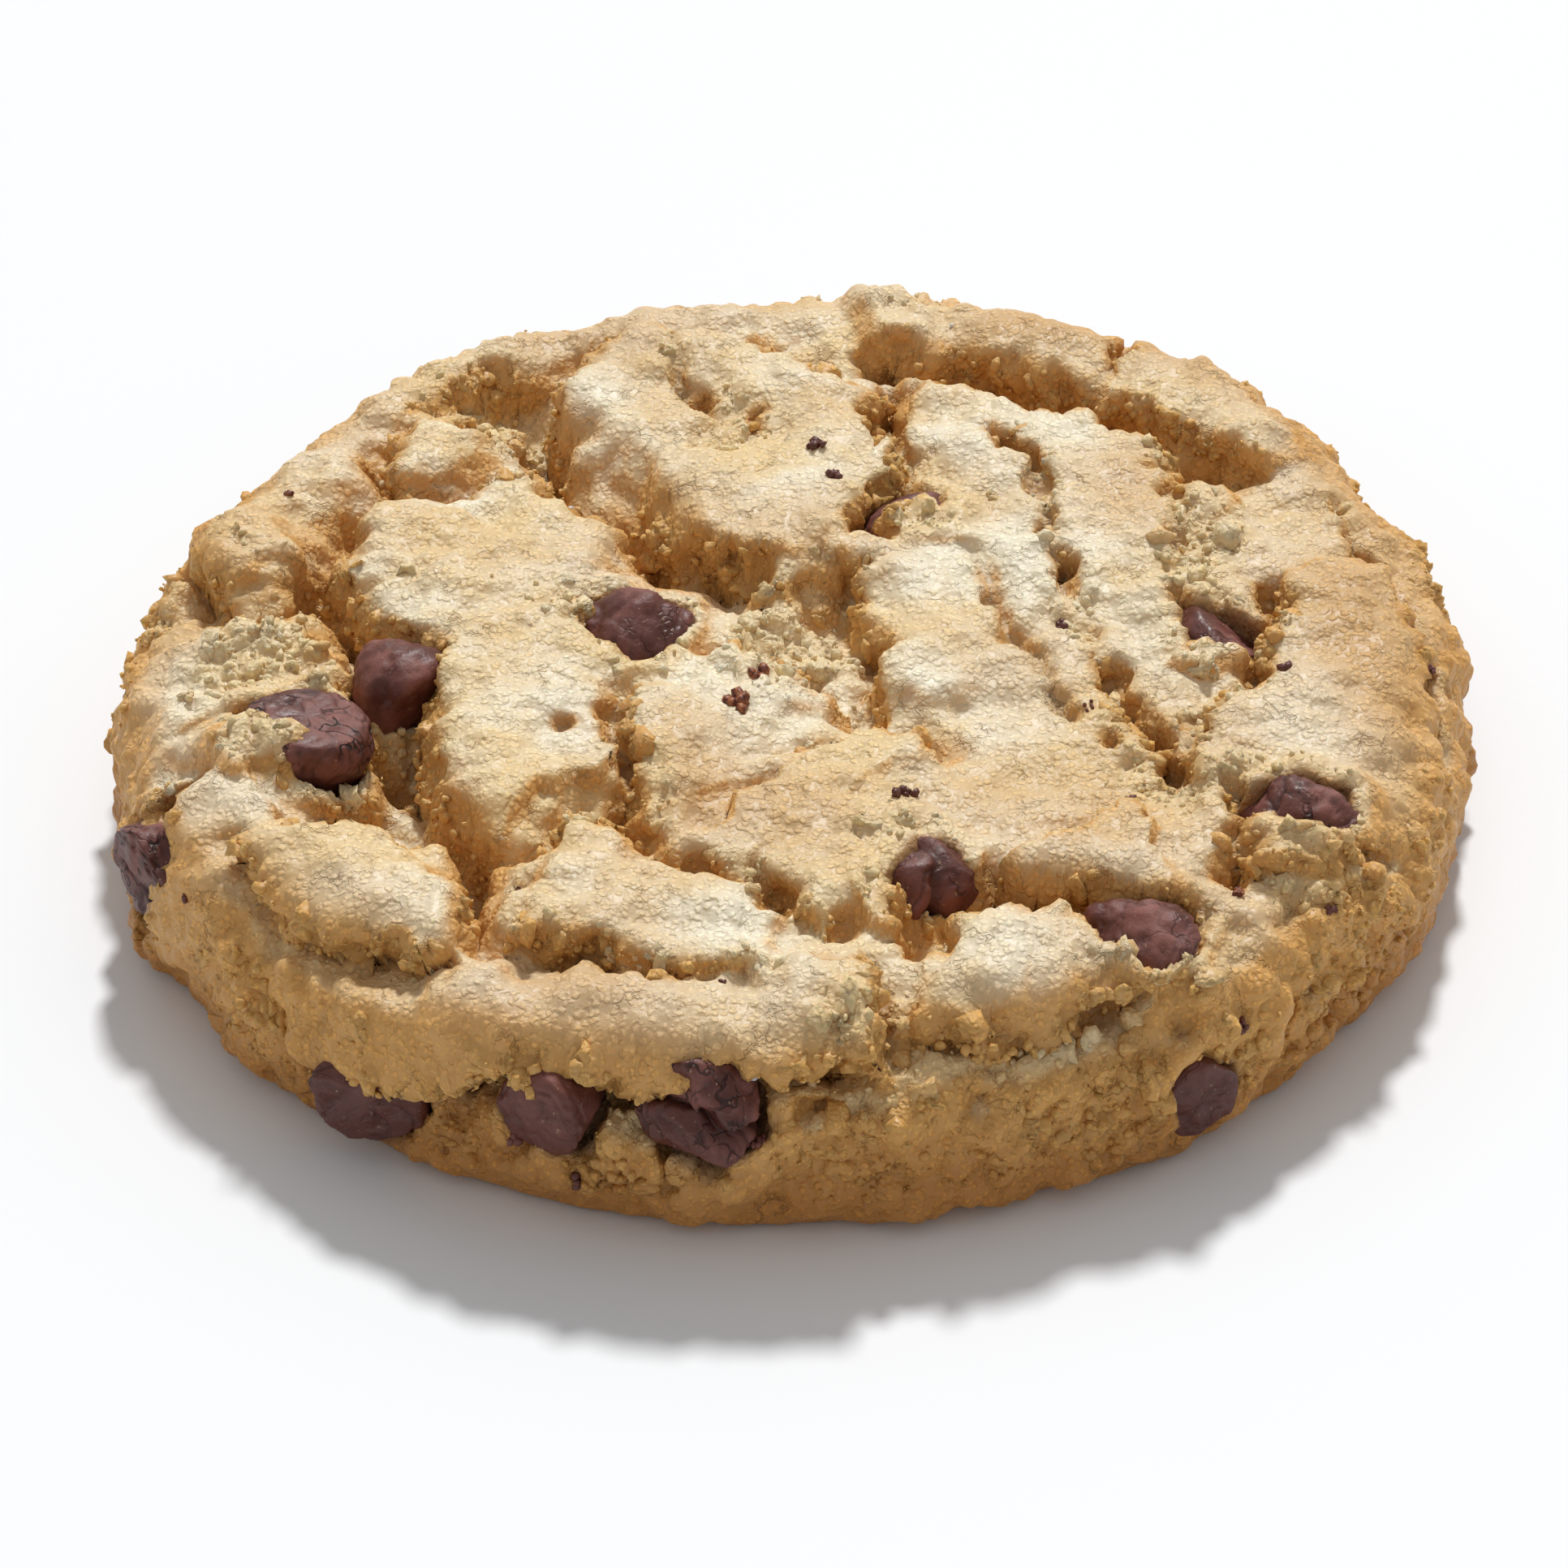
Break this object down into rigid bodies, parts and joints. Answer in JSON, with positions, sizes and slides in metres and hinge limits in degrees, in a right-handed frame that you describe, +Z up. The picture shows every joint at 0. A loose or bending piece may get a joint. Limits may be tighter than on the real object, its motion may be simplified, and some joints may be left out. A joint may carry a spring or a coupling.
{
  "type": "chocolate chip cookie",
  "caption": "Large soft-baked drop cookie: a thick round of craggy, cracked dough with a flat underside and chocolate chips set into its top and side.",
  "frame": {"origin": "centre of the flat underside, on the surface the cookie lies on", "axes": "+Z up, through the cookie's thickness; -Y towards the side with the broad front roll; +X to that side's right"},
  "size_m": [0.0985, 0.1022, 0.0179],
  "materials": {
    "baked_dough": null,
    "milk_chocolate": null
  },
  "bodies": {
    "root": {"cookie_dough": "baked_dough", "chip_standing": "milk_chocolate", "chip_oval": "milk_chocolate", "chip_cracked_disc": "milk_chocolate", "chip_left_side": "milk_chocolate", "chip_left_foot": "milk_chocolate", "chip_in_crevice": "milk_chocolate", "chip_front": "milk_chocolate", "chip_folded": "milk_chocolate", "chip_front_right": "milk_chocolate", "chip_right": "milk_chocolate", "chip_right_back": "milk_chocolate", "chip_covered": "milk_chocolate", "chip_low_right": "milk_chocolate", "chip_back_left": "milk_chocolate", "chip_back_right": "milk_chocolate", "chip_back_low": "milk_chocolate"}
  },
  "joints": []
}
